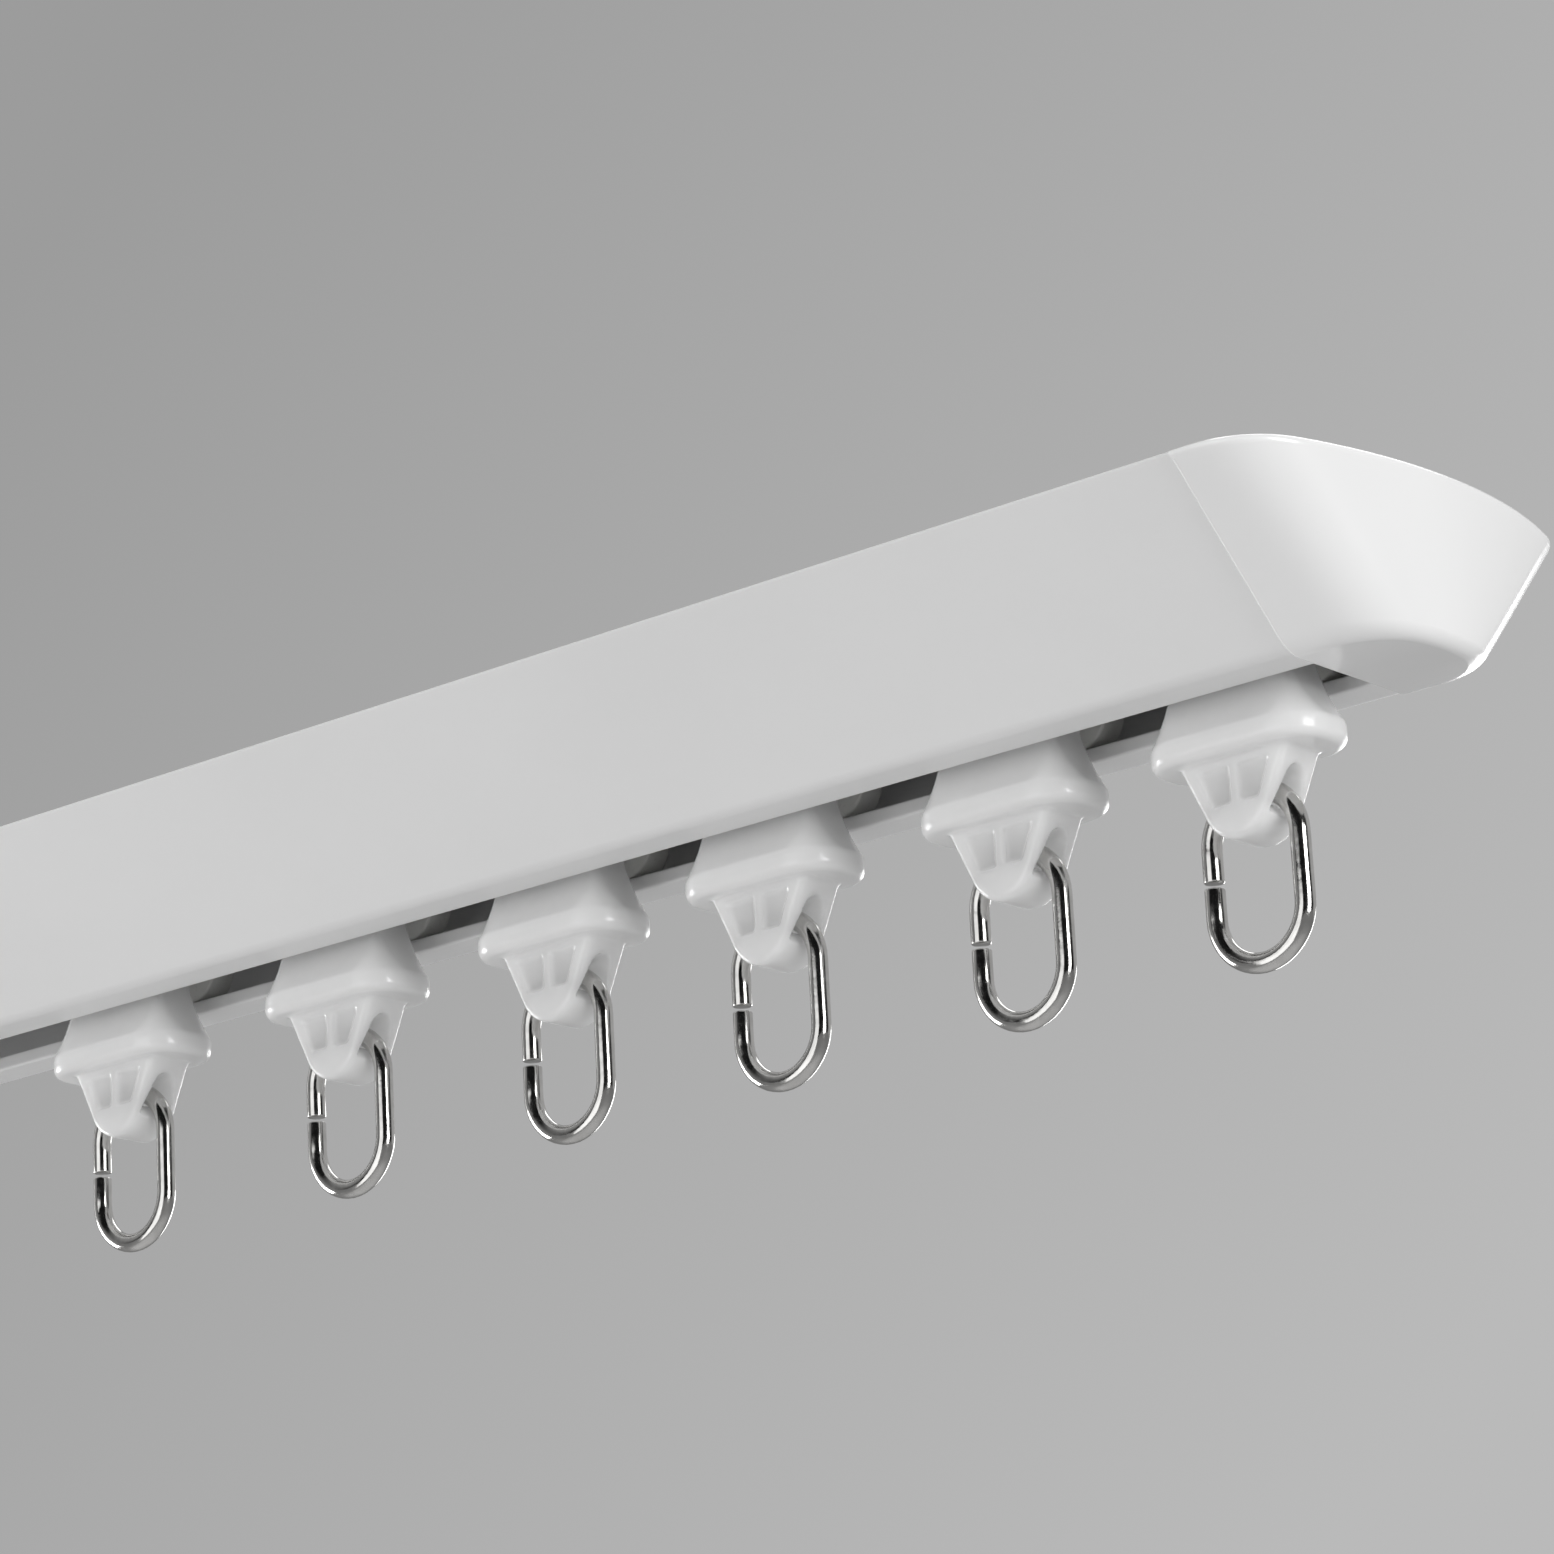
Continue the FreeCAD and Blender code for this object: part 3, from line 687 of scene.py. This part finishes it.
@dataclass
class SplitRing:
    """A split ring of round wire, in millimetres, drawn with its own origin in the glider's eye."""

    wire: float = 1.8
    width: float = 10.8
    height: float = 16.7
    gap: float = 0.5
    end_round: float = 0.15
    end_steps: int = 3
    sides: int = 28
    bend_steps: int = 24

    def build(self, name: str, place: Vector, finish: bpy.types.Material) -> bpy.types.Object:
        """Runs the wire from one side of the gap round to the other.

        Args:
            name: the piece's name.
            place: the wire's middle in the eye, in metres.
            finish: the plating.

        Returns:
            The ring.
        """
        bend = (self.width - self.wire) / 2
        leg = self.height - self.width
        middle, low = -bend - leg / 2, -bend - leg
        bm = bmesh.new()
        start = bmesh.ops.create_circle(bm, cap_ends=True, segments=self.sides, radius=self.wire / 2)
        bmesh.ops.translate(bm, verts=start["verts"], vec=(-bend, 0, middle - self.gap / 2))
        rim = list({edge for vert in start["verts"] for edge in vert.link_edges})
        runs: list[Callable[[list[bmesh.types.BMEdge]], list[bmesh.types.BMEdge]]] = [
            lambda edges: self.straight(bm, edges, low - middle + self.gap / 2),
            lambda edges: self.bent(bm, edges, low),
            lambda edges: self.straight(bm, edges, leg),
            lambda edges: self.bent(bm, edges, -bend),
            lambda edges: self.straight(bm, edges, middle + bend + self.gap / 2),
        ]
        first = rim
        for run in runs:
            rim = run(rim)
        bmesh.ops.contextual_create(bm, geom=rim)
        bmesh.ops.recalc_face_normals(bm, faces=bm.faces)
        soften(bm, [edge for edge in first + rim if edge.is_valid], self.end_round, self.end_steps)
        return piece_from(bm, name, finish, place)

    def straight(
        self, bm: bmesh.types.BMesh, rim: list[bmesh.types.BMEdge], rise: float
    ) -> list[bmesh.types.BMEdge]:
        """Draws the wire on upwards.

        Args:
            bm: the mesh.
            rim: the edges round the wire's end.
            rise: how far up it goes.

        Returns:
            The edges round its new end.
        """
        grown = bmesh.ops.extrude_edge_only(bm, edges=rim)["geom"]
        moved = [g for g in grown if isinstance(g, bmesh.types.BMVert)]
        bmesh.ops.translate(bm, verts=moved, vec=(0, 0, rise))
        return [g for g in grown if isinstance(g, bmesh.types.BMEdge)]

    def bent(
        self, bm: bmesh.types.BMesh, rim: list[bmesh.types.BMEdge], level: float
    ) -> list[bmesh.types.BMEdge]:
        """Bends the wire half round.

        Args:
            bm: the mesh.
            rim: the edges round the wire's end.
            level: the height of the bend's middle.

        Returns:
            The edges round its new end.
        """
        grown = bmesh.ops.spin(
            bm, geom=rim, cent=(0, 0, level), axis=(0, -1, 0), angle=math.pi, steps=self.bend_steps,
            use_duplicate=False)["geom_last"]
        return [g for g in grown if isinstance(g, bmesh.types.BMEdge)]


@dataclass
class Wheel:
    """A moulded wheel, in millimetres, drawn about its own axis along Y with its outer face at +Y."""

    diameter: float = 6.8
    width: float = 2.8
    rim: float = 0.8
    recess: float = 0.6
    hub_diameter: float = 3.2
    bore: float = 1.6
    edge: float = 0.25
    edge_steps: int = 3
    steps: int = 40

    def build(
        self, name: str, side: RailSide, place: Vector, finish: bpy.types.Material
    ) -> bpy.types.Object:
        """Turns the wheel's half section.

        Args:
            name: the piece's name.
            side: the side of the slot that it runs on.
            place: its middle, in metres.
            finish: the plastic.

        Returns:
            The wheel.
        """
        tread, half, floor = self.diameter / 2, self.width / 2, self.width / 2 - self.recess
        section = [
            (self.bore / 2, -half), (tread, -half), (tread, half), (tread - self.rim, half),
            (tread - self.rim, floor), (self.hub_diameter / 2, floor), (self.hub_diameter / 2, half),
            (self.bore / 2, half),
        ]
        bm = bmesh.new()
        face = closed_face(bm, [(x, side.value * y, 0) for x, y in section])
        bmesh.ops.bevel(
            bm, geom=[v for v in face.verts if v.co.x > self.hub_diameter / 2 - TOUCH], offset=self.edge,
            offset_type="OFFSET", affect="VERTICES", segments=self.edge_steps, profile=0.5, material=-1)
        outline = bm.edges[:]
        bmesh.ops.delete(bm, geom=bm.faces[:], context="FACES_ONLY")
        bmesh.ops.spin(
            bm, geom=outline, cent=(0, 0, 0), axis=(0, 1, 0), angle=2 * math.pi, steps=self.steps,
            use_merge=True, use_duplicate=False)
        return piece_from(bm, name, finish, place, SHARP_MOULDED)


@dataclass
class Axle:
    """A steel pin across the carriage, in millimetres, with softly cropped ends."""

    diameter: float = 1.6
    end_round: float = 0.2
    end_steps: int = 3
    sides: int = 24

    def build(self, name: str, node: str, finish: bpy.types.Material) -> bpy.types.Object:
        """Makes the pin as long as its node.

        Args:
            name: the piece's name.
            node: the node that it stands for.
            finish: the steel.

        Returns:
            The pin.
        """
        low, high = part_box(node)
        radius = self.diameter / 2
        bm = bmesh.new()
        bmesh.ops.create_cone(
            bm, cap_ends=True, segments=self.sides, radius1=radius, radius2=radius,
            depth=(high.y - low.y) / MM, matrix=Matrix.Rotation(math.pi / 2, 4, "X"))
        ends = [e for f in bm.faces if len(f.verts) == self.sides for e in f.edges]
        soften(bm, ends, self.end_round, self.end_steps)
        return piece_from(bm, name, finish, middle_of(node))


@dataclass
class Glider:
    """A moulded glider with its wheels and split ring.

    The moulding keeps its solid's form. Its edges are run together as they are where hot plastic fills a
    mould, by rebuilding the skin on a fine grid and letting it settle.
    """

    grid_mm: float = 0.16
    settle_rounds: int = 5
    settle_share: float = 0.5
    ring: SplitRing = field(default_factory=SplitRing)
    wheel: Wheel = field(default_factory=Wheel)
    axle: Axle = field(default_factory=Axle)

    def moulding(self, node: bpy.types.Object) -> bpy.types.Mesh:
        """Rebuilds a packed moulding with run-together edges.

        Args:
            node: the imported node.

        Returns:
            The soft-edged mesh, in the node's place.
        """
        bm = bmesh.new()
        bm.from_mesh(node.data)
        bmesh.ops.remove_doubles(bm, verts=bm.verts, dist=TOUCH * MM)
        skin = bpy.data.meshes.new("moulding_skin")
        bm.to_mesh(skin)
        bm.free()
        holder = bpy.data.objects.new("moulding_skin", skin)
        bpy.context.scene.collection.objects.link(holder)
        grid = holder.modifiers.new("fine_grid", "REMESH")
        grid.mode = "VOXEL"
        grid.voxel_size = self.grid_mm * MM
        fine = baked(holder)
        bpy.data.objects.remove(holder)
        bm = bmesh.new()
        bm.from_mesh(fine)
        for _ in range(self.settle_rounds):
            bmesh.ops.smooth_vert(
                bm, verts=bm.verts, factor=self.settle_share,
                use_axis_x=True, use_axis_y=True, use_axis_z=True)
        bm.to_mesh(fine)
        bm.free()
        return fine

    def dress(
        self, count: int, nylon: bpy.types.Material, acetal: bpy.types.Material,
        steel: bpy.types.Material, nickel: bpy.types.Material,
    ) -> None:
        """Puts every glider in the frame with its wheels, axles and ring.

        Args:
            count: how many gliders the track has.
            nylon: the moulding's finish.
            acetal: the wheels' finish.
            steel: the axles' finish.
            nickel: the rings' finish.
        """
        pattern = self.moulding(frame["nodes"]["glider_1"])
        home = middle_of("glider_1")
        for number in range(1, count + 1):
            node = f"glider_{number}"
            mesh = pattern.copy()
            mesh.transform(Matrix.Translation(middle_of(node) - home))
            moulding = piece_of(mesh, f"glider_moulding_{number}", nylon, SHARP_NOWHERE)
            stand_for(moulding, node, node)
            self.dress_wheels(number, acetal, steel)
            self.dress_ring(number, nickel)

    def dress_wheels(self, number: int, acetal: bpy.types.Material, steel: bpy.types.Material) -> None:
        """Puts a glider's two axles and four wheels in the frame.

        Args:
            number: the glider's number.
            acetal: the wheels' finish.
            steel: the axles' finish.
        """
        for end in TrackEnd:
            body = f"wheelset_{number}_{end.word}"
            pin_node = f"glider_{number}_axle_{end.word}"
            pin = self.axle.build(f"axle_pin_{number}_{end.word}", pin_node, steel)
            stand_for(pin, pin_node, body)
            for side in RailSide:
                node = f"glider_{number}_wheel_{end.word}_{side.word}"
                name = f"running_wheel_{number}_{end.word}_{side.word}"
                wheel = self.wheel.build(name, side, middle_of(node), acetal)
                stand_for(wheel, node, body)

    def dress_ring(self, number: int, nickel: bpy.types.Material) -> None:
        """Hangs a glider's split ring in its eye.

        Args:
            number: the glider's number.
            nickel: the ring's finish.
        """
        node = f"glider_{number}_ring"
        low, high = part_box(node)
        eye = Vector(((low.x + high.x) / 2, 0, high.z - self.ring.wire / 2 * MM))
        ring = self.ring.build(f"split_ring_{number}", eye, nickel)
        stand_for(ring, node, f"ring_{number}")


@dataclass
class Lamp:
    """A square soft box that points at the track's right end, in metres and watts."""

    name: str
    place: tuple[float, float, float]
    size: float
    power: float
    target: tuple[float, float, float] = (0.2, 0.0, -0.01)

    def build(self) -> None:
        """Adds the lamp to the scene."""
        light = bpy.data.lights.new(self.name, "AREA")
        light.shape = "SQUARE"
        light.size = self.size
        light.energy = self.power
        lamp = bpy.data.objects.new(self.name, light)
        lamp.location = self.place
        way = Vector(self.target) - lamp.location
        lamp.rotation_euler = way.to_track_quat("-Z", "Y").to_euler()
        bpy.context.scene.collection.objects.link(lamp)


@dataclass
class Studio:
    """Camera, floor, lamps and background, in metres."""

    camera_place: tuple[float, float, float] = (0.49597, -0.37092, -0.15182)
    camera_right: tuple[float, float, float] = (0.75901466, 0.64914755, -0.05004197)
    camera_up: tuple[float, float, float] = (0.22180183, -0.18554624, 0.95727558)
    lens_mm: float = 129.906
    sensor_mm: float = 36.0
    clip_start: float = 0.01
    floor_level: float = -1.3
    floor_radius: float = 20.0
    floor_sides: int = 64
    floor_colour: str = "#CCCCCC"
    floor_shown: str = "#FAFAFA"
    background_dark: str = "#9C9C9C"
    background_light: str = "#BABABA"
    background_lean: tuple[float, float] = (0.8, -0.6)
    background_spread: float = 0.16
    room_colour: str = "#161616"
    room_edge: tuple[float, float] = (-0.1, 0.2)
    ambient_colour: str = "#FFFFFF"
    ambient: float = 0.38
    lamps: tuple[Lamp, ...] = (
        Lamp("key_soft_box", (1.6, -0.25, 0.15), 0.7, 13.2),
        Lamp("front_soft_box", (-0.1, -1.6, -0.25), 1.4, 8.4),
        Lamp("rim_soft_box", (-1.5, -0.2, -0.25), 0.8, 13.0),
        Lamp("back_soft_box", (-0.25, 1.7, -0.1), 0.8, 7.5),
        Lamp("overhead_soft_box", (0.0, 0.9, 1.5), 1.2, 11.0),
    )

    def build(self) -> None:
        """Sets the whole studio."""
        self.add_camera()
        self.add_floor()
        self.add_background()
        for lamp in self.lamps:
            lamp.build()
        bpy.context.scene.view_settings.view_transform = "Standard"

    def add_camera(self) -> None:
        """Looks up at the track's right end as the photograph does."""
        lens = bpy.data.cameras.new("camera")
        lens.sensor_fit = "HORIZONTAL"
        lens.sensor_width = self.sensor_mm
        lens.lens = self.lens_mm
        lens.clip_start = self.clip_start
        camera = bpy.data.objects.new("camera", lens)
        right, up = Vector(self.camera_right), Vector(self.camera_up)
        turn = Matrix((right, up, right.cross(up))).transposed().to_4x4()
        camera.matrix_world = Matrix.Translation(self.camera_place) @ turn
        bpy.context.scene.collection.objects.link(camera)
        bpy.context.scene.camera = camera

    def add_floor(self) -> None:
        """Lays a plain floor well below the track, paler to the camera than to the light on the track."""
        bm = bmesh.new()
        bmesh.ops.create_circle(bm, cap_ends=True, segments=self.floor_sides, radius=self.floor_radius)
        bmesh.ops.translate(bm, verts=bm.verts, vec=(0, 0, self.floor_level))
        mesh = bpy.data.meshes.new("studio_floor")
        bm.to_mesh(mesh)
        bm.free()
        material = bpy.data.materials.new("matt_studio_floor")
        material.use_nodes = True
        tree = material.node_tree
        tree.nodes.clear()
        ray = add_node(tree, "ShaderNodeLightPath")
        shade = add_node(tree, "ShaderNodeMix", {"data_type": "RGBA"}, {
            "Factor": ray.outputs["Is Camera Ray"], MIX_FIRST: linear(self.floor_colour),
            MIX_SECOND: linear(self.floor_shown)})
        surface = add_node(tree, "ShaderNodeBsdfDiffuse", inputs={"Color": shade.outputs[MIX_RESULT]})
        add_node(tree, "ShaderNodeOutputMaterial", inputs={"Surface": surface.outputs["BSDF"]})
        mesh.materials.append(material)
        floor = bpy.data.objects.new("studio_floor", mesh)
        bpy.context.scene.collection.objects.link(floor)

    def add_background(self) -> None:
        """Shows a grey wall that lightens down to the right, and lights evenly from all round.

        Bright metal mirrors the dark room behind the camera too.
        """
        world = bpy.data.worlds.new("studio_background")
        world.use_nodes = True
        bpy.context.scene.world = world
        tree = world.node_tree
        tree.nodes.clear()
        right, up = Vector(self.camera_right), Vector(self.camera_up)
        lean = self.background_lean[0] * right + self.background_lean[1] * up
        way = add_node(tree, "ShaderNodeTexCoord").outputs["Generated"]
        along = add_node(tree, "ShaderNodeVectorMath", {"operation": "DOT_PRODUCT"}, {0: way, 1: tuple(lean)})
        shade = add_node(tree, "ShaderNodeMapRange", inputs={
            "Value": along.outputs["Value"], "From Min": -self.background_spread,
            "From Max": self.background_spread})
        wall = add_node(tree, "ShaderNodeMix", {"data_type": "RGBA"}, {
            "Factor": shade.outputs["Result"], MIX_FIRST: linear(self.background_dark),
            MIX_SECOND: linear(self.background_light)})
        behind = add_node(tree, "ShaderNodeVectorMath", {"operation": "DOT_PRODUCT"}, {
            0: way, 1: tuple(right.cross(up))})
        depth = add_node(tree, "ShaderNodeMapRange", inputs={
            "Value": behind.outputs["Value"], "From Min": self.room_edge[0], "From Max": self.room_edge[1]})
        ray = add_node(tree, "ShaderNodeLightPath")
        mirrored = add_node(tree, "ShaderNodeMath", {"operation": "MULTIPLY"}, {
            0: depth.outputs["Result"], 1: ray.outputs["Is Glossy Ray"]})
        room = add_node(tree, "ShaderNodeMix", {"data_type": "RGBA"}, {
            "Factor": mirrored.outputs["Value"], MIX_FIRST: wall.outputs[MIX_RESULT],
            MIX_SECOND: linear(self.room_colour)})
        seen = add_node(tree, "ShaderNodeBackground", inputs={
            "Color": room.outputs[MIX_RESULT], "Strength": 1.0})
        lit = add_node(tree, "ShaderNodeBackground", inputs={
            "Color": linear(self.ambient_colour), "Strength": self.ambient})
        clear = add_node(tree, "ShaderNodeMath", {"operation": "MAXIMUM"}, {
            0: ray.outputs["Is Camera Ray"], 1: ray.outputs["Is Glossy Ray"]})
        shown = add_node(tree, "ShaderNodeMath", {"operation": "MAXIMUM"}, {
            0: clear.outputs["Value"], 1: ray.outputs["Is Transmission Ray"]})
        both = add_node(tree, "ShaderNodeMixShader", inputs={
            0: shown.outputs["Value"], 1: lit.outputs["Background"], 2: seen.outputs["Background"]})
        add_node(tree, "ShaderNodeOutputWorld", inputs={"Surface": both.outputs["Shader"]})


def main() -> None:
    """Builds the track's pieces in order."""
    logging.basicConfig(level=logging.INFO, format="%(name)s: %(message)s")
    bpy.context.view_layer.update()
    rail = Rail()
    rail.dress(POWDER_COAT.build())
    EndCap(rail).dress(POLISHED_ABS.build())
    count = sum(name.startswith("ring_") for name in frame["bodies"])
    Glider().dress(
        count, MILKY_NYLON.build(), SMOOTH_ACETAL.build(), DRAWN_STEEL.build(), BRIGHT_NICKEL.build())
    Studio().build()


if __name__ == "__main__":
    main()
